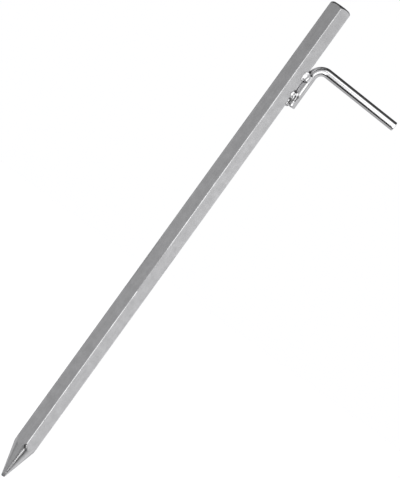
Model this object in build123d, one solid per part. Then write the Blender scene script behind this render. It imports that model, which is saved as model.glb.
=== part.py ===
from build123d import *
import math
import os

# A tent stake: a pointed hexagonal steel bar with a bent rod hook welded to one of its flats.
# The stake stands on its point. The origin is the point's end on the bar's axis, +Z runs up
# the bar to the struck end, and +X is the side that carries the hook. All sizes are in mm.

# Hexagonal bar: two of its flats face -X and +X, and two of its edges face -Y and +Y
bar_across_flats = 12.0
bar_length = 300.0
bar_edge_radius = 0.8

# Point turned on the lower end, a cone cut short by a small blunt end
point_half_angle = 14.9
point_end_radius = 1.05
point_end_rounding = 0.35

# Turned bevel round the struck end, its slope measured from the flat end face
struck_face_radius = 5.1
struck_bevel_angle = 38.0

# Hook rod: a leg lies along the bar's +X flat, and an arm stands out from its upper end
rod_diameter = 5.0
rod_bend_radius = 6.0
rod_end_bevel = 0.25
leg_end_height = 242.7
leg_length = 25.5
arm_length = 50.4
arm_droop = 2.45

# Weld beads in the grooves on both sides of the leg: the height and radius of each blob of
# weld metal, and where the run of blobs lies beside the bar
upper_weld_blobs = [(257.9, 1.6), (259.7, 1.9), (261.5, 1.6)]
lower_weld_blobs = [(243.4, 1.75), (245.4, 1.95), (247.6, 1.8), (249.8, 1.65)]
weld_out_from_axis = 6.3
weld_off_middle = 3.1

rod_radius = rod_diameter / 2
leg_axis_x = bar_across_flats / 2 + rod_radius
bar_corner_radius = bar_across_flats / 2 / math.cos(math.radians(30))


def turned_envelope():
    """The solid of revolution that leaves the cone at the bottom and the bevel at the top."""
    outer_radius = bar_corner_radius + 1
    cone_slope = math.tan(math.radians(point_half_angle))
    cone_height = (outer_radius - point_end_radius) / cone_slope
    bevel_height = (outer_radius - struck_face_radius) * math.tan(math.radians(struck_bevel_angle))
    outline = Polyline(
        (0, 0),
        (point_end_radius, 0),
        (outer_radius, cone_height),
        (outer_radius, bar_length - bevel_height),
        (struck_face_radius, bar_length),
        (0, bar_length),
        close=True,
    )
    envelope = revolve(Plane.XZ * make_face(outline), Axis.Z)
    blunt_edge = envelope.edges().sort_by(Axis.Z)[0]
    return fillet(blunt_edge, point_end_rounding)


def hex_bar():
    """The bar's rounded hexagon, trimmed by the turned cone and bevel."""
    section = RegularPolygon(bar_across_flats / 2, 6, major_radius=False, rotation=30)
    section = fillet(section.vertices(), bar_edge_radius)
    return extrude(section, bar_length) & turned_envelope()


def hook_rod():
    """One length of round rod: the leg, a single bend, and the arm with its slight droop."""
    leg_end = Vector(leg_axis_x, 0, leg_end_height)
    corner = leg_end + Vector(0, 0, leg_length)
    droop = math.radians(arm_droop)
    arm_end = corner + Vector(math.cos(droop), 0, -math.sin(droop)) * arm_length
    centre_line = FilletPolyline(leg_end, corner, arm_end, radius=rod_bend_radius)
    section = Plane(leg_end, z_dir=(0, 0, 1)) * Circle(rod_radius)
    rod = sweep(section, path=centre_line)
    end_edges = rod.faces().filter_by(GeomType.PLANE).edges()
    return chamfer(end_edges, rod_end_bevel)


def weld_bead(blobs, side, bar, rod):
    """A run of blobs in the groove on one side of the leg, cut back to the bar and the rod."""
    middle_y = side * weld_off_middle
    bead = Part()
    for height, radius in blobs:
        bead += Pos(weld_out_from_axis, middle_y, height) * Sphere(radius)
    return bead - bar - rod


def main():
    os.makedirs("parts", exist_ok=True)
    bar = hex_bar()
    rod = hook_rod()
    front, rear = -1, 1
    pieces = {
        "hex_bar": bar,
        "hook_rod": rod,
        "upper_front_weld": weld_bead(upper_weld_blobs, front, bar, rod),
        "lower_front_weld": weld_bead(lower_weld_blobs, front, bar, rod),
        "upper_rear_weld": weld_bead(upper_weld_blobs, rear, bar, rod),
        "lower_rear_weld": weld_bead(lower_weld_blobs, rear, bar, rod),
    }
    for name, piece in pieces.items():
        export_step(piece, f"parts/{name}.step")


main()
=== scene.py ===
import math

import bmesh
import bpy
from mathutils import Matrix, Vector, noise


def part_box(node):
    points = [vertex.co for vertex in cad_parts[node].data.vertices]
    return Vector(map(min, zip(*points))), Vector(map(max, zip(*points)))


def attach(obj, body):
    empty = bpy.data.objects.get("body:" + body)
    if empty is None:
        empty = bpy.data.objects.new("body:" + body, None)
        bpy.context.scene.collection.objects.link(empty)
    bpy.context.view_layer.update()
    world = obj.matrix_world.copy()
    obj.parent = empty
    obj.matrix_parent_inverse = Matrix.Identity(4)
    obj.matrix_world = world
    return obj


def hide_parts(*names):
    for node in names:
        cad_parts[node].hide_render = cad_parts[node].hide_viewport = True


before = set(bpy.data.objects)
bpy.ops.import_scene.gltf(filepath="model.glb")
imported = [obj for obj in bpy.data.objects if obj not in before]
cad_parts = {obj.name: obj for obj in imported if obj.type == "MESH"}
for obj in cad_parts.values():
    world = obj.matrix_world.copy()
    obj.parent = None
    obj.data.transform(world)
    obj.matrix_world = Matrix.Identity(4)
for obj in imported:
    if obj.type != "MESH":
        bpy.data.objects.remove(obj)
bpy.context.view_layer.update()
print("frame loaded, with pieces", ", ".join(sorted(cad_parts)))

mm = 0.001
fullTurn = 2 * math.pi
blueLean = 1.01                 # how much more blue than red or green there is in every grey


# Shader maths as Python: a Wire is the output of a node, and a Bench is the tree it is in

class Wire:
    def __init__(self, bench, socket):
        self.bench = bench
        self.socket = socket

    def output(self, name):  # another output of the same node
        return Wire(self.bench, self.socket.node.outputs[name])

    def maths(self, operation, first, second=0.0):
        return self.bench.add("ShaderNodeMath", {"operation": operation}, {0: first, 1: second})

    def __add__(self, other):
        return self.maths("ADD", self, other)

    def __sub__(self, other):
        return self.maths("SUBTRACT", self, other)

    def __rsub__(self, other):
        return self.maths("SUBTRACT", other, self)

    def __mul__(self, other):
        return self.maths("MULTIPLY", self, other)

    def __truediv__(self, other):
        return self.maths("DIVIDE", self, other)

    def __rtruediv__(self, other):
        return self.maths("DIVIDE", other, self)

    def __pow__(self, other):
        return self.maths("POWER", self, other)

    def __neg__(self):
        return self.maths("MULTIPLY", self, -1.0)

    def absolute(self):
        return self.maths("ABSOLUTE", self)

    def orMore(self, other):
        return self.maths("MAXIMUM", self, other)

    __radd__ = __add__
    __rmul__ = __mul__


class Bench:
    def __init__(self, tree):
        self.tree = tree
        tree.nodes.clear()

    def add(self, kind, settings=None, values=None, output=0):
        made = self.tree.nodes.new(kind)
        for name, setting in (settings or {}).items():
            if name == "stops":
                self.setStops(made.color_ramp, setting)
            else:
                setattr(made, name, setting)
        for name, value in (values or {}).items():
            if isinstance(value, Wire):
                self.tree.links.new(value.socket, made.inputs[name])
            else:
                made.inputs[name].default_value = value
        return Wire(self, made.outputs[output]) if made.outputs else made

    def setStops(self, ramp, stops):
        while len(ramp.elements) < len(stops):
            ramp.elements.new(0.5)
        for element, (place, grey) in zip(ramp.elements, stops):
            element.position = place
            element.color = (grey, grey, grey, 1)

    def step(self, value, low, high):  # 0 below low, 1 above high, smooth between
        settings = {"interpolation_type": "SMOOTHSTEP", "clamp": True}
        values = {"Value": value, "From Min": low, "From Max": high}
        return self.add("ShaderNodeMapRange", settings, values)

    def drop(self, value, low, high):  # 1 below low, 0 above high, smooth between
        return self.step(-value, -high, -low)

    def noiseAt(self, place, scaleAndShadeSpots, detail=3.0, stretch=(1, 1, 1), roughness=0.5):
        multiply = {"operation": "MULTIPLY"}
        stretched = self.add("ShaderNodeVectorMath", multiply, {0: place, 1: stretch})
        values = {"Vector": stretched, "Scale": scaleAndShadeSpots, "Detail": detail, "Roughness": roughness}
        return self.add("ShaderNodeTexNoise", {"normalize": True}, values)

    def attribute(self, name):
        return self.add("ShaderNodeAttribute", {"attribute_name": name}, output="Fac")

    def coolGrey(self, tone):
        return self.add("ShaderNodeCombineColor", {}, {0: tone, 1: tone, 2: tone * blueLean})


def grey(level):
    return (level, level, level * blueLean, 1)


def newMaterial(name):
    material = bpy.data.materials.new(name)
    material.use_nodes = True
    bench = Bench(material.node_tree)
    place = bench.add("ShaderNodeTexCoord", output="Object")
    return material, bench, place


def finishMetal(bench, colour, roughness, height, bumpDistance):
    relief = {"Strength": 1.0, "Distance": bumpDistance, "Height": height}
    bump = bench.add("ShaderNodeBump", {}, relief)
    values = {"Base Color": colour, "Metallic": 1.0, "Roughness": roughness, "Normal": bump}
    shader = bench.add("ShaderNodeBsdfPrincipled", {}, values)
    bench.add("ShaderNodeOutputMaterial", {}, {"Surface": shader})


# Zinc on the drawn hexagonal bar: satin, faintly mottled, bright along the worn edges

barFinish = {
    "grey": 0.91,
    "cloudGrey": 0.288,         # how far the mottles and the drawing marks change the grey
    "fineGrey": 0.192,
    "drawnGrey": 0.12,
    "edgeGrey": 0.03,           # how much lighter the worn edges are
    "topShade": 0.11,           # painted shade: how much darker the bar is painted towards the struck end
    "topShadeFrom": 0.20,
    "topShadeTo": 0.30,
    "tipShade": 0.45,           # painted shade: how much darker the very end of the point is painted
    "tipShadeFrom": 0.4 * mm,
    "tipShadeTo": 2.2 * mm,
    "bevelShade": 0.10,         # painted shade: how much darker the bevel round the struck end is painted
    "bevelFrom": 0.20,          # turned surfaces above this belong to the bevel
    "bevelTo": 0.21,
    "scaleAndShadeDarkening": 0.8,
    "roughness": 0.43,
    "edgeRoughness": 0.34,
    "latheRoughness": 0.20,
    "tipRoughness": 0.29,
    "wornFrom": 8.5 * mm,       # the point is duller below this
    "wornTo": 11.5 * mm,
    "bevelRoughness": 0.34,
    "struckRoughness": 0.70,
    "cloudRoughness": 0.16,     # how far the large and the small mottles change the roughness
    "fineRoughness": 0.10,
    "cloudScale": 260,          # mottles to the metre, from large to small
    "drawnScale": 900,
    "fineScale": 1500,
    "drawnStretch": (1, 1, 0.04),   # long marks left along the bar by the drawing die
    "latheRingsPerMetre": 3200,
    "latheWobble": 0.35,
    "latheWobbleScale": 300,
    "bump": 0.03 * mm,          # the depth of the relief, and what shares of it each pattern has
    "cloudRelief": 0.8,
    "fineRelief": 0.6,
    "drawnRelief": 0.5,
    "latheRelief": 0.15,
    # painted shade in ragged dark spots, in the crevices beside the welds and over reflections
    # at the top of the point that would be too bright: out from the bar's axis, off the middle
    # plane, height, half length up and down, and radius, in mm
    "scaleAndShadeSpots": [
        (5.6, 3.6, 250.2, 0.1, 0.7),
        (5.75, 3.5, 262.9, 0.1, 0.4),
        (-0.35, 6.4, 20.2, 0.3, 0.6),
        (0.3, 6.3, 19.6, 0.3, 0.9),
        (0.75, 6.2, 19.2, 0.3, 0.9),
        (1.3, 5.9, 18.1, 0.3, 0.6),
    ],
}


def barZinc():
    f = barFinish
    material, bench, place = newMaterial("barZinc")
    edge = bench.attribute("edge")
    turned = bench.attribute("turned")
    struck = bench.attribute("struck")
    height = bench.add("ShaderNodeSeparateXYZ", {}, {0: place}, output="Z")
    cloud = bench.noiseAt(place, f["cloudScale"], detail=4)
    fine = bench.noiseAt(place, f["fineScale"], detail=3)
    drawn = bench.noiseAt(place, f["drawnScale"], detail=2, stretch=f["drawnStretch"])
    bevel = turned * bench.step(height, f["bevelFrom"], f["bevelTo"])
    worn = turned * bench.drop(height, f["wornFrom"], f["wornTo"])

    mottled = (cloud - 0.5) * f["cloudGrey"] + (fine - 0.5) * f["fineGrey"]
    mottled = mottled + (drawn - 0.5) * f["drawnGrey"]
    tone = (mottled + 1) * f["grey"] + edge * f["edgeGrey"]
    # painted shade, darker towards the struck end
    tone = tone * (1 - bench.step(height, f["topShadeFrom"], f["topShadeTo"]) * f["topShade"])
    # painted shade at the very end of the point, where the reflection would be too bright
    tone = tone * (1 - bench.drop(height, f["tipShadeFrom"], f["tipShadeTo"]) * f["tipShade"])
    # painted shade on the bevel
    tone = tone * (1 - bevel * f["bevelShade"])
    # painted shade in the ragged dark spots
    tone = tone * (1 - scaleAndPaintedShade(bench, place, f["scaleAndShadeSpots"]) * f["scaleAndShadeDarkening"])

    rough = f["roughness"] + (cloud - 0.5) * f["cloudRoughness"] + (fine - 0.5) * f["fineRoughness"]
    rough = rough + edge * (f["edgeRoughness"] - f["roughness"])
    rough = rough + turned * (f["latheRoughness"] - f["roughness"])
    rough = rough + worn * (f["tipRoughness"] - f["latheRoughness"])
    rough = rough + bevel * (f["bevelRoughness"] - f["latheRoughness"])
    rough = rough + struck * (f["struckRoughness"] - f["bevelRoughness"])

    wobble = bench.noiseAt(place, f["latheWobbleScale"]) * f["latheWobble"]
    phase = (height * f["latheRingsPerMetre"] + wobble) * fullTurn
    rings = bench.add("ShaderNodeMath", {"operation": "SINE"}, {0: phase})
    relief = fine * f["fineRelief"] + cloud * f["cloudRelief"] + drawn * f["drawnRelief"]
    relief = relief + rings * turned * f["latheRelief"]
    finishMetal(bench, bench.coolGrey(tone), rough, relief, f["bump"])
    return material


# Bright zinc on the drawn round rod, dulled where the heat of welding spoiled it

rodFinish = {
    "grey": 0.86,
    "cloudGrey": 0.12,          # how far the large and the small mottles change the grey
    "fineGrey": 0.06,
    "roughness": 0.15,
    "cloudRoughness": 0.06,
    "cloudScale": 400,          # mottles to the metre
    "fineScale": 2500,
    "bump": 0.006 * mm,
    "fineRelief": 0.5,
    "scaleAndShadeDarkening": 0.85,
    "spotRoughness": 0.3,      # added on the dark spots
    # painted shadow under the upper bead's lower edge, and painted shade in the pit by the bend and
    # in the creases beside the beads: out from the bar's axis, off the middle plane, height, half
    # length up and down, and radius, in mm
    "scaleAndShadeSpots": [
        (8.2, 2.4, 262.0, 0.2, 0.95),
        (6.6, 1.8, 263.0, 0.3, 1.1),
        (8.8, 2.5, 247.6, 1.5, 0.62),
        (6.7, 1.7, 250.2, 0.2, 0.8),
        (6.8, 1.8, 256.9, 0.1, 0.5),
        (7.5, 2.3, 257.2, 0.1, 0.5),
        (8.2, 2.5, 257.6, 0.1, 0.5),
    ],
    "dullRoughness": 0.50,
    "dullBelow": 250.8 * mm,
    "dullBetween": (257.8 * mm, 262.5 * mm),
    "dullFade": 1.2 * mm,       # half the width over which the dull zinc ends
    "dullWander": 9 * mm,
}


def rodZinc():
    f = rodFinish
    material, bench, place = newMaterial("rodZinc")
    cloud = bench.noiseAt(place, f["cloudScale"], detail=3)
    fine = bench.noiseAt(place, f["fineScale"], detail=2)
    dark = scaleAndPaintedShade(bench, place, f["scaleAndShadeSpots"])
    tone = ((cloud - 0.5) * f["cloudGrey"] + (fine - 0.5) * f["fineGrey"] + 1) * f["grey"]
    # painted shade and shadow in the dark spots
    tone = tone * (1 - dark * f["scaleAndShadeDarkening"])

    height = bench.add("ShaderNodeSeparateXYZ", {}, {0: place}, output="Z")
    height = height + (cloud - 0.5) * f["dullWander"]
    edges = []
    for edge in (f["dullBelow"], *f["dullBetween"]):
        edges.append(bench.step(height, edge - f["dullFade"], edge + f["dullFade"]))
    below, start, stop = edges
    rough = f["roughness"] + (cloud - 0.5) * f["cloudRoughness"] + dark * f["spotRoughness"]
    rough = rough + (1 - below + start - stop) * (f["dullRoughness"] - f["roughness"])
    finishMetal(bench, bench.coolGrey(tone), rough, cloud + fine * f["fineRelief"], f["bump"])
    return material


# Ragged dark patches of scale and painted shade, the same on both sides of the middle plane

spotEdge = {
    "noiseScale": 1800,
    "detail": 3,
    "roughness": 0.65,
    "raggedness": 1.8 * mm,
    "solidShare": 0.2,          # the shares of its radius at which a patch begins and stops fading
    "clearShare": 1.1,
}


def scaleAndPaintedShade(bench, place, patches):
    f = spotEdge
    x = bench.add("ShaderNodeSeparateXYZ", {}, {0: place}, output="X")
    y, z = x.output("Y").absolute(), x.output("Z")
    noisy = bench.noiseAt(place, f["noiseScale"], detail=f["detail"], roughness=f["roughness"])
    ragged = (noisy - 0.5) * f["raggedness"]
    dark = None
    for out, off, height, halfLength, radius in patches:
        across, deep = x - out * mm, y - off * mm
        along = ((z - height * mm).absolute() - halfLength * mm).orMore(0.0)
        distance = (across * across + deep * deep + along * along) ** 0.5 + ragged
        solid, clear = radius * f["solidShare"] * mm, radius * f["clearShare"] * mm
        near = 1 - bench.step(distance, solid, clear)
        dark = near if dark is None else near.orMore(dark)
    return dark


# Plated weld metal: bright, lumpy, with dark scale left in the pits and painted shade in its
# creases

weldFinish = {
    "grey": 0.88,
    "cloudGrey": 0.3,
    "roughness": 0.20,
    "fineRoughness": 0.15,
    "cloudScale": 900,
    "fineScale": 4000,
    "bump": 0.02 * mm,
    "fineRelief": 0.4,
    "scaleAndShadeDarkening": 0.9,
    "spotRoughness": 0.3,
    # dark scale in the pits, and painted shade in the creases between the strands, in the pit by
    # the bend and over highlights that would be too bright
    "scaleAndShadeSpots": [
        (6.3, 3.6, 250.0, 0.1, 0.8),
        (6.0, 3.9, 245.8, 0.2, 0.8),
        (7.35, 3.1, 243.5, 0.1, 0.6),
        (6.4, 3.2, 263.0, 0.1, 0.8),
        (7.6, 3.25, 247.0, 1.7, 0.65),
        (5.3, 4.4, 257.9, 0.1, 0.45),
        (6.5, 3.3, 244.3, 0.7, 0.85),
        (6.9, 2.8, 241.9, 0.1, 0.6),
    ],
}


def weldZinc():
    f = weldFinish
    material, bench, place = newMaterial("weldZinc")
    cloud = bench.noiseAt(place, f["cloudScale"], detail=3)
    fine = bench.noiseAt(place, f["fineScale"], detail=2)
    dark = scaleAndPaintedShade(bench, place, f["scaleAndShadeSpots"])
    tone = ((cloud - 0.5) * f["cloudGrey"] + 1) * f["grey"]
    # scale and painted shade in the dark spots
    tone = tone * (1 - dark * f["scaleAndShadeDarkening"])
    rough = f["roughness"] + (fine - 0.5) * f["fineRoughness"] + dark * f["spotRoughness"]
    finishMetal(bench, bench.coolGrey(tone), rough, cloud + fine * f["fineRelief"], f["bump"])
    return material


# Meshes made of rings of points

def skinRings(name, rings, attributes=None):
    mesh = bpy.data.meshes.new(name)
    count = len(rings[0])
    points = [point for ring in rings for point in ring]
    faces = []
    for low in range(len(rings) - 1):
        for side in range(count):
            after = (side + 1) % count
            faces.append((low * count + side, low * count + after,
                          (low + 1) * count + after, (low + 1) * count + side))
    first, last = len(points), len(points) + 1
    points += [middleOf(rings[0]), middleOf(rings[-1])]
    top = (len(rings) - 1) * count
    for side in range(count):
        after = (side + 1) % count
        faces.append((first, after, side))
        faces.append((last, top + side, top + after))
    mesh.from_pydata(points, [], faces)
    mesh.polygons.foreach_set("use_smooth", [True] * len(mesh.polygons))
    for attributeName, values in (attributes or {}).items():
        layer = mesh.attributes.new(attributeName, "FLOAT", "POINT")
        layer.data.foreach_set("value", values + [0.0, 0.0])
    mesh.update()
    made = bpy.data.objects.new(name, mesh)
    bpy.context.scene.collection.objects.link(made)
    return made


def middleOf(ring):
    return sum(ring, Vector()) / len(ring)


def softLeast(first, second, width):  # the smaller of two sizes, blended over width
    near = max(width - abs(first - second), 0) / width
    return min(first, second) - near * near * width / 4


def finishPiece(piece, material, slot, *nodes):
    piece.data.materials.append(material)
    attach(piece, "root")
    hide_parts(*nodes)


# The bar: a rounded hexagon with a turned point below and a turned bevel above

barShape = {
    "edgeRadius": 0.8 * mm,
    "pointHalfAngle": 14.9,
    "pointEndRadius": 1.10 * mm,
    "pointEndRounding": 0.35 * mm,
    "struckFaceRadius": 5.1 * mm,
    "struckBevelAngle": 38.0,
    "clearRadius": 7.2 * mm,    # the turned surfaces are clear of the hexagon from here out
    "edgeBlend": 0.12 * mm,     # how softly the turned surfaces meet the flats
    "turnedBlend": 0.2 * mm,    # and over what depth the zinc changes from drawn to turned
    "shoulder": 0.06 * mm,      # the little step that the tool left round the top of the point
    "shoulderWidth": 0.10 * mm,
    "waviness": 0.015 * mm,
    "waveScale": 45,            # along the bar, and round it
    "waveRound": 2,
    "nickDepth": 0.10 * mm,
    # long and short nicks along the edges: noise scale, how rare, and how deep for nickDepth
    "longNicks": (420, 0.12, 1.6),
    "shortNicks": (1100, 0.25, 1.4),
    "dullStretch": (0.119, 0.145),  # heights between which the edges stayed unworn
    "dullEdge": -2.4,           # the edge attribute there, and its limits elsewhere
    "wornEdge": (-0.6, 1.3),
    "wornScale": 150,
    "wornMiddle": 0.4,
    "wornSpread": 2.4,
    "coneRise": 0.4 * mm,       # spacing of the rings up the cone, closer where it meets the flats
    "fineRise": 0.12 * mm,
    "fineFrom": 5.7 * mm,
    "barRise": 0.95 * mm,
    "bevelRings": 18,
    "roundingRings": 6,
    # rings across the flat end of the point and the struck face, as shares of their radius
    "endShares": (0.3, 0.65, 1.0),
    "faceShares": (0.985, 0.95, 0.85, 0.7, 0.55, 0.4, 0.25, 0.12),
}


def hexColumns(halfWidth, edgeRadius):
    columns = []                # angle, radius and nearness to an edge, all the way round
    flatHalf = (halfWidth - edgeRadius) * math.tan(math.radians(30))
    edgeCentre = (halfWidth - edgeRadius) / math.cos(math.radians(30))
    flatSteps, edgeSteps = 16, 8    # points across each flat and round each edge
    for side in range(6):
        turn = math.radians(60 * side)
        for step in range(flatSteps):
            along = flatHalf * (2 * (step + 0.5) / flatSteps - 1)
            columns.append((turn + math.atan2(along, halfWidth), math.hypot(along, halfWidth), 0.0))
        for step in range(edgeSteps + 1):
            lean = math.radians(60 * step / edgeSteps - 30)
            x = edgeCentre + edgeRadius * math.cos(lean)
            y = edgeRadius * math.sin(lean)
            near = math.cos(lean * 3) * 0.5 + 0.5
            columns.append((turn + math.radians(30) + math.atan2(y, x), math.hypot(x, y), near))
    return columns


unlimited = 1.0                 # a turned radius that leaves the hexagon whole


def turnedProfile(length):      # from bottom to top, the radius and the height of each turned ring
    shape = barShape
    slope = math.tan(math.radians(shape["pointHalfAngle"]))
    rounding = shape["pointEndRounding"]
    flatRadius = shape["pointEndRadius"] - rounding
    profile = [(flatRadius * share, 0.0) for share in shape["endShares"]]
    for step in range(1, shape["roundingRings"] + 1):
        lean = math.radians((90 - shape["pointHalfAngle"]) * step / shape["roundingRings"])
        profile.append((flatRadius + rounding * math.sin(lean), rounding * (1 - math.cos(lean))))
    radius, height = profile[-1]
    while radius < shape["clearRadius"]:
        rise = shape["coneRise"] if radius < shape["fineFrom"] else shape["fineRise"]
        height += rise
        radius += rise * slope
        profile.append((radius, height))
    bevelSlope = math.tan(math.radians(shape["struckBevelAngle"]))
    bevelWidth = shape["clearRadius"] - shape["struckFaceRadius"]
    bevelStart = length - bevelWidth * bevelSlope
    steps = round((bevelStart - height) / shape["barRise"])
    for step in range(1, steps):
        profile.append((unlimited, height + (bevelStart - height) * step / steps))
    for step in range(shape["bevelRings"] + 1):
        inward = bevelWidth * step / shape["bevelRings"]
        profile.append((shape["clearRadius"] - inward, bevelStart + inward * bevelSlope))
    for share in shape["faceShares"]:
        profile.append((shape["struckFaceRadius"] * share, length))
    return profile


# how deep a corner's edge is nicked at a height, in nick depths; the odd numbers in the seeds keep
# the six corners from being alike
def nick(corner, height):
    longScale, longRarity, longDepth = barShape["longNicks"]
    shortScale, shortRarity, shortDepth = barShape["shortNicks"]
    wander = noise.noise(Vector((corner * 7.31, 1.7, height * longScale)))
    chip = noise.noise(Vector((corner * 3.17, 8.9, height * shortScale)))
    return max(0.0, wander - longRarity) * longDepth + max(0.0, chip - shortRarity) * shortDepth


def makeBar():
    shape = barShape
    low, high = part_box("hex_bar")
    halfWidth, length = (high.x - low.x) / 2, high.z
    columns = hexColumns(halfWidth, shape["edgeRadius"])
    lowestWear, highestWear = shape["wornEdge"]
    dullFrom, dullTo = shape["dullStretch"]
    rings, edgeValues, turnedValues, struckValues = [], [], [], []
    for radiusLimit, height in turnedProfile(length):
        ring = []
        for number, (angle, radius, near) in enumerate(columns):
            trimmed = softLeast(radius, radiusLimit, shape["edgeBlend"])
            onFlat = radiusLimit > radius
            corner = number // (len(columns) // 6)
            if height < length / 2:
                cut = min(max((radius - radiusLimit) / shape["shoulderWidth"], 0.0), 1.0)
                trimmed -= shape["shoulder"] * cut
            if onFlat:
                along = height * shape["waveScale"]
                around = Vector((math.cos(angle), math.sin(angle), 0)) * shape["waveRound"]
                around.z = along
                trimmed += noise.noise(around) * shape["waviness"]
                trimmed -= nick(corner, height) * near * shape["nickDepth"]
            ring.append(Vector((math.cos(angle) * trimmed, math.sin(angle) * trimmed, height)))
            wear = noise.noise(Vector((corner * 5.3, 2.9, height * shape["wornScale"])))
            wear = wear * shape["wornSpread"] + shape["wornMiddle"]
            wear = min(max(wear, lowestWear), highestWear)
            if dullFrom < height < dullTo:
                wear = shape["dullEdge"]
            edgeValues.append(near * wear if onFlat else 0.0)
            struckValues.append(1.0 if height == length else 0.0)
            turned = 0.5 + (radius - radiusLimit) / shape["turnedBlend"]
            turnedValues.append(min(max(turned, 0.0), 1.0))
        rings.append(ring)
    attributes = {"edge": edgeValues, "turned": turnedValues, "struck": struckValues}
    bar = skinRings("bar", rings, attributes)
    finishPiece(bar, barZinc(), "bar_zinc", "hex_bar")
    print("bar made,", len(bar.data.polygons), "faces")


# The hook: a leg on the bar's flat, one bend and a slightly drooping arm

hookShape = {
    "bendRadius": 6.0 * mm,
    "droop": 2.45,
    "endRounding": 0.35 * mm,
    "coating": 0.06 * mm,       # zinc, which makes the rod a little fatter than its steel
    "bendSqueeze": 0.03,        # how much the bend narrows the rod in the plane of the hook
    "bendSpread": 0.5,          # and what share of that it gains across the plane
    "steelEndBevel": 0.25 * mm,
    "pointsRound": 56,
    "flatShares": (0.25, 0.5, 0.75),    # rings across each flat end, as shares of its radius
    "roundingRings": 6,
    "legRings": 14,
    "bendRings": 44,
    "armRings": 40,
}


def makeHook():
    shape = hookShape
    low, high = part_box("hook_rod")
    rodRadius = (high.y - low.y) / 2 + shape["coating"]
    bend, droop = shape["bendRadius"], math.radians(shape["droop"])
    legX = low.x + rodRadius
    bendX, bendZ = legX + bend, high.z - bend - rodRadius
    legLength = bendZ - low.z
    turn = math.pi / 2 + droop
    armEndX = high.x - (rodRadius - shape["steelEndBevel"]) * math.sin(droop)
    armLength = (armEndX - bendX - bend * math.sin(droop)) / math.cos(droop)
    bendLength = bend * turn
    total = legLength + bendLength + armLength

    def spot(along):            # the place, and the bend's outward side, at a length along the rod
        if along < legLength:
            return Vector((legX, 0, low.z + along)), Vector((-1, 0, 0))
        lean = min((along - legLength) / bend, turn)
        outward = Vector((-math.cos(lean), 0, math.sin(lean)))
        place = Vector((bendX, 0, bendZ)) + outward * bend
        rest = max(0.0, along - legLength - bendLength)
        return place + Vector((math.cos(droop), 0, -math.sin(droop))) * rest, outward

    ends = []                   # lengths from each end at which its rounding has rings
    for step in range(shape["roundingRings"] + 1):
        lean = math.radians(90 * step / shape["roundingRings"])
        ends.append(shape["endRounding"] * (1 - math.cos(lean)))
    lengths = list(ends)
    stretches = [
        (ends[-1], legLength, shape["legRings"]),
        (legLength, legLength + bendLength, shape["bendRings"]),
        (legLength + bendLength, total - ends[-1], shape["armRings"]),
    ]
    for start, stop, steps in stretches:
        lengths += [start + (stop - start) * step / steps for step in range(1, steps + 1)]
    lengths += [total - inset for inset in reversed(ends[:-1])]
    flatRadius = rodRadius - shape["endRounding"]
    rings = [rodRing(spot, 0.0, flatRadius * share, 0.0) for share in shape["flatShares"]]
    for along in lengths:
        fromEnd = min(along, total - along)
        inset = max(0.0, shape["endRounding"] - fromEnd)
        reach = math.sqrt(max(0.0, shape["endRounding"] ** 2 - inset ** 2))
        radius = flatRadius + (reach if inset else shape["endRounding"])
        bent = min(max((along - legLength) / bendLength, 0.0), 1.0)
        squeeze = math.sin(math.pi * bent) ** 2 * shape["bendSqueeze"]
        rings.append(rodRing(spot, along, radius, squeeze))
    for share in reversed(shape["flatShares"]):
        rings.append(rodRing(spot, total, flatRadius * share, 0.0))
    hook = skinRings("hook", rings)
    finishPiece(hook, rodZinc(), "rod_zinc", "hook_rod")
    print("hook made,", len(hook.data.polygons), "faces")


def rodRing(spot, along, radius, squeeze):
    place, outward = spot(along)
    side = Vector((0, 1, 0))
    inPlane = radius * (1 - squeeze)
    sideways = radius * (1 + squeeze * hookShape["bendSpread"])
    ring = []
    for step in range(hookShape["pointsRound"]):
        angle = fullTurn * step / hookShape["pointsRound"]
        ring.append(place + outward * math.cos(angle) * inPlane + side * math.sin(angle) * sideways)
    return ring


# Weld beads: blobs of metal melted into each other

beadShape = {
    "blobDivisions": 4,
    "voxel": 0.10 * mm,
    "smoothing": 28,
    "ripple": 0.03 * mm,
    "rippleScale": (600, 600, 1300),
}
# each blob: out from the bar's axis, off the middle plane, up from the bead's middle and three half
# sizes, in mm, then how far round to the hook it faces and how far its top leans, in degrees
upperBlobs = [
    (5.90, 2.95, 0.0, 1.80, 1.15, 2.40, 20, 0),
    (7.20, 2.45, 0.0, 1.15, 1.10, 2.10, 20, 0),
    (5.55, 4.05, 0.2, 2.00, 0.58, 2.50, 11, 15),
    (5.60, 3.40, 0.2, 1.90, 1.00, 2.40, 11, 15),
    (7.30, 3.45, -0.2, 1.25, 0.58, 1.95, 9, 5),
    (7.25, 2.85, -0.2, 1.20, 0.98, 1.90, 9, 5),
    (5.15, 3.65, -2.2, 1.25, 0.80, 1.10, 30, 0),
]
lowerBlobs = [
    (6.25, 2.45, -0.8, 1.80, 1.10, 3.00, 50, 0),
    (7.60, 2.30, -0.2, 1.20, 1.05, 3.30, 10, 0),
    (5.60, 3.95, 1.9, 1.40, 0.55, 1.65, 13, 15),
    (5.65, 3.30, 1.8, 1.30, 1.00, 1.60, 13, 15),
    (5.85, 3.10, -0.6, 1.00, 0.90, 2.10, 20, 10),
    (6.85, 3.40, 0.9, 0.68, 0.78, 2.00, 10, -4),
    (8.15, 2.95, 1.0, 0.66, 0.76, 2.00, 10, -4),
    (7.75, 3.40, 3.0, 1.20, 0.55, 1.05, 9, 0),
    (7.70, 2.85, 2.9, 1.10, 0.98, 1.05, 9, 0),
    (8.70, 2.85, -2.3, 1.30, 0.55, 1.75, 11, -10),
    (8.45, 2.35, -2.2, 1.25, 0.95, 1.70, 11, -10),
    (6.50, 2.75, -3.6, 1.60, 0.85, 1.20, 42, 0),
]


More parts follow.
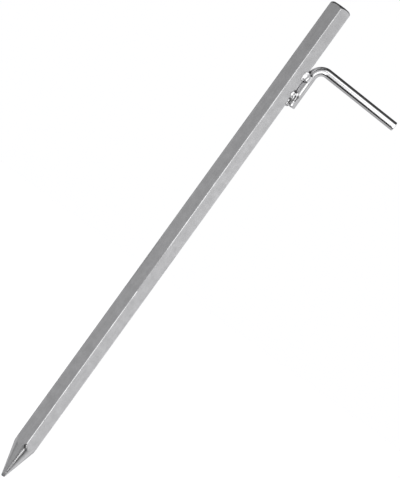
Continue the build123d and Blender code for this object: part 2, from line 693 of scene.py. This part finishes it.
def makeBead(name, node, blobs, side, flip):
    low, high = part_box(node)
    middleZ = (low.z + high.z) / 2
    shapes = bmesh.new()
    for out, off, up, sizeX, sizeY, sizeZ, yaw, roll in blobs:
        place = Matrix.Translation((out * mm, side * off * mm, middleZ + flip * up * mm))
        turned = Matrix.Rotation(math.radians(-side * yaw), 4, "Z")
        leaning = Matrix.Rotation(math.radians(roll * flip), 4, "Y")
        size = Matrix.Diagonal((sizeX * mm, sizeY * mm, sizeZ * mm, 1))
        matrix = place @ turned @ leaning @ size
        divisions = beadShape["blobDivisions"]
        bmesh.ops.create_icosphere(shapes, subdivisions=divisions, radius=1, matrix=matrix)
    mesh = bpy.data.meshes.new(name)
    shapes.to_mesh(mesh)
    shapes.free()
    rough = bpy.data.objects.new(name + "Blobs", mesh)
    bpy.context.scene.collection.objects.link(rough)
    melt = rough.modifiers.new("melt", "REMESH")
    melt.mode = "VOXEL"
    melt.voxel_size = beadShape["voxel"]
    smooth = rough.modifiers.new("smooth", "SMOOTH")
    smooth.iterations = beadShape["smoothing"]
    graph = bpy.context.evaluated_depsgraph_get()
    melted = bpy.data.meshes.new_from_object(rough.evaluated_get(graph), depsgraph=graph)
    bpy.data.objects.remove(rough)
    scaleX, scaleY, scaleZ = beadShape["rippleScale"]
    places = []
    for vertex in melted.vertices:
        place = vertex.co
        seed = Vector((place.x * scaleX, place.y * scaleY + side, place.z * scaleZ))
        ripple = noise.noise(seed)
        places.extend(place + vertex.normal * ripple * beadShape["ripple"])
    melted.vertices.foreach_set("co", places)
    melted.polygons.foreach_set("use_smooth", [True] * len(melted.polygons))
    bead = bpy.data.objects.new(name, melted)
    bpy.context.scene.collection.objects.link(bead)
    return bead


def makeWelds():
    finish = weldZinc()
    front, rear = -1, 1
    plan = [                    # the last number is -1 where the blobs are upside down
        ("weldUpperFront", "upper_front_weld", upperBlobs, front, 1),
        ("weldLowerFront", "lower_front_weld", lowerBlobs, front, 1),
        ("weldUpperRear", "upper_rear_weld", upperBlobs, rear, -1),
        ("weldLowerRear", "lower_rear_weld", lowerBlobs, rear, 1),
    ]
    for name, node, blobs, side, flip in plan:
        bead = makeBead(name, node, blobs, side, flip)
        finishPiece(bead, finish, "weld_zinc", node)
        print(name, "made,", len(bead.data.polygons), "faces")


# Studio: a plain pale floor, white all round, and soft boxes that the metal reflects

studio = {
    "floorGrey": 0.85,
    "floorGlow": 0.82,
    "floorDrop": 0.05 * mm,
    "floorReach": 6.0,
    # brightness at degrees round from the camera, on the hook's side if above zero
    "level": [
        (-180, 0.32), (-129, 0.30), (-88, 0.43), (-72, 0.44), (-52, 0.27), (-40, 0.29),
        (-30, 0.36), (-15, 0.44), (-8, 0.48), (50, 0.48), (64, 0.46), (80, 0.66),
        (98, 0.68), (120, 0.54), (150, 0.44), (180, 0.32),
    ],
    "low": [
        (-180, 0.40), (-130, 0.60), (-108, 0.36), (-90, 0.16), (-74, 0.30), (-58, 0.34),
        (-43, 0.30), (-29, 0.36), (-14, 0.30), (0, 0.40), (36, 0.10), (46, 0.04),
        (58, 0.24), (74, 0.42), (90, 0.50), (108, 0.60), (130, 0.60), (180, 0.40),
    ],
    "lowBand": (0.15, 0.50),    # sines of the angles down at which low takes over from level
    # degrees round and up, outer and inner radius in degrees, and strength
    "darkPatch": (14, -58, 29, 14.5, 0.95),
    "below": 0.45,
    "belowBand": (0.965, 0.995),
    "overhead": 0.10,
    "overheadBand": (0.78, 0.92),
    "overheadLean": 0.55,       # how far the dark overhead comes down away from the hook
    "overheadBack": 0.3,        # and behind the stake
}
# name, azimuth to the hook's side of the camera, elevation, distance, width, height, brightness
softBoxes = [
    ("keyStrip", 22, -33, 0.90, 0.20, 0.36, 1.65),
    ("keyLower", 24, -4.5, 0.90, 0.52, 0.71, 1.20),
    ("keyUpper", 23.5, 38, 0.90, 0.53, 0.31, 1.20),
]


def makeFloor():
    mesh = bpy.data.meshes.new("floor")
    reach = studio["floorReach"]
    corners = [(-reach, -reach, 0), (reach, -reach, 0), (reach, reach, 0), (-reach, reach, 0)]
    mesh.from_pydata(corners, [], [(0, 1, 2, 3)])
    floor = bpy.data.objects.new("floor", mesh)
    bpy.context.scene.collection.objects.link(floor)
    floor.location.z = -studio["floorDrop"]
    floor.visible_glossy = False
    material = bpy.data.materials.new("paleFloor")
    material.use_nodes = True
    bench = Bench(material.node_tree)
    paint = bench.add("ShaderNodeBsdfDiffuse", {}, {"Color": grey(studio["floorGrey"])})
    light = {"Color": grey(1.0), "Strength": studio["floorGlow"]}
    glow = bench.add("ShaderNodeEmission", {}, light)
    both = bench.add("ShaderNodeAddShader", {}, {0: paint, 1: glow})
    bench.add("ShaderNodeOutputMaterial", {}, {"Surface": both})
    mesh.materials.append(material)


def makeWorld():
    world = bpy.data.worlds.new("studio")
    bpy.context.scene.world = world
    world.use_nodes = True
    bench = Bench(world.node_tree)
    generated = bench.add("ShaderNodeTexCoord", output="Generated")
    turning = {"Vector": generated, "Angle": math.radians(cameraView["turn"])}
    direction = bench.add("ShaderNodeVectorRotate", {"rotation_type": "Z_AXIS"}, turning)
    x = bench.add("ShaderNodeSeparateXYZ", {}, {0: direction}, output="X")
    y, z = x.output("Y"), x.output("Z")
    around = x.maths("ARCTAN2", x, -y) / fullTurn + 0.5
    level = bench.add("ShaderNodeValToRGB", {"stops": aroundStops(studio["level"])}, {0: around})
    low = bench.add("ShaderNodeValToRGB", {"stops": aroundStops(studio["low"])}, {0: around})
    lowness = bench.step(-z, *studio["lowBand"])
    level = low * lowness + level * (1 - lowness)
    azimuth, elevation, outerRadius, innerRadius, strength = studio["darkPatch"]
    patch = headTowards(azimuth, elevation)
    dot = {"operation": "DOT_PRODUCT"}
    nearness = bench.add("ShaderNodeVectorMath", dot, {0: direction, 1: patch}, output="Value")
    outer, inner = math.cos(math.radians(outerRadius)), math.cos(math.radians(innerRadius))
    level = level * (1 - bench.step(nearness, outer, inner) * strength)
    level = level.orMore(bench.step(-z, *studio["belowBand"]) * studio["below"])
    away = (-x).orMore(0.0) * studio["overheadLean"]
    behind = y.orMore(0.0) * studio["overheadBack"]
    overhead = bench.step(z + away + behind, *studio["overheadBand"])
    level = level * (1 - overhead * (1 - studio["overhead"]))
    seen = bench.add("ShaderNodeLightPath", output="Is Camera Ray")
    light = {"Color": grey(1.0), "Strength": level * (1 - seen) + seen}
    sky = bench.add("ShaderNodeBackground", {}, light)
    bench.add("ShaderNodeOutputWorld", {}, {"Surface": sky})


def aroundStops(pairs):
    return [(degrees / 360 + 0.5, brightness) for degrees, brightness in pairs]


def headTowards(azimuth, elevation):
    a, e = math.radians(azimuth), math.radians(elevation)
    return Vector((math.sin(a) * math.cos(e), -math.cos(a) * math.cos(e), math.sin(e)))


def makeSoftBoxes():
    low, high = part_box("hex_bar")
    middle = (low + high) / 2
    for name, azimuth, elevation, distance, width, height, brightness in softBoxes:
        towards = headTowards(azimuth - cameraView["turn"], elevation)
        lamp = bpy.data.lights.new(name, "AREA")
        lamp.shape = "RECTANGLE"
        lamp.size, lamp.size_y = width, height
        lamp.energy = brightness * math.pi * width * height    # watts that give this brightness
        box = bpy.data.objects.new(name, lamp)
        bpy.context.scene.collection.objects.link(box)
        box.location = middle + towards * distance
        box.rotation_mode = "QUATERNION"
        box.rotation_quaternion = towards.to_track_quat("Z", "Y")
        box.visible_camera = False


# Camera: level with the middle of the bar, square to the plane of the hook, and rolled

cameraView = {
    "turn": 3.2,                # degrees that the camera stands round, away from the hook
    "lean": 35.853,             # degrees that the bar leans to the right
    "distance": 1.300,
    "frameHeight": 0.2479,      # metres across the view's long side, at the bar
    "aimOut": 0.01097,          # the point at the view's middle
    "aimUp": 0.15957,
    "filmWidth": 36,
    "clip": (0.01, 50),
}


def makeCamera():
    v = cameraView
    camera = bpy.data.cameras.new("camera")
    camera.sensor_width = v["filmWidth"]
    camera.lens = camera.sensor_width * v["distance"] / v["frameHeight"]
    camera.clip_start, camera.clip_end = v["clip"]
    made = bpy.data.objects.new("camera", camera)
    bpy.context.scene.collection.objects.link(made)
    lean = math.radians(v["lean"])
    right = Vector((math.cos(lean), 0, math.sin(lean)))
    up = Vector((-math.sin(lean), 0, math.cos(lean)))
    back = right.cross(up)
    roll = Matrix((right, up, back)).transposed().to_4x4()
    place = Matrix.Translation((v["aimOut"], -v["distance"], v["aimUp"]))
    made.matrix_world = Matrix.Rotation(math.radians(-v["turn"]), 4, "Z") @ place @ roll
    bpy.context.scene.camera = made


makeCamera()
makeFloor()
makeWorld()
makeSoftBoxes()
print("studio ready")
makeBar()
makeHook()
makeWelds()

bpy.context.scene.view_settings.view_transform = "Standard"
bpy.context.view_layer.update()
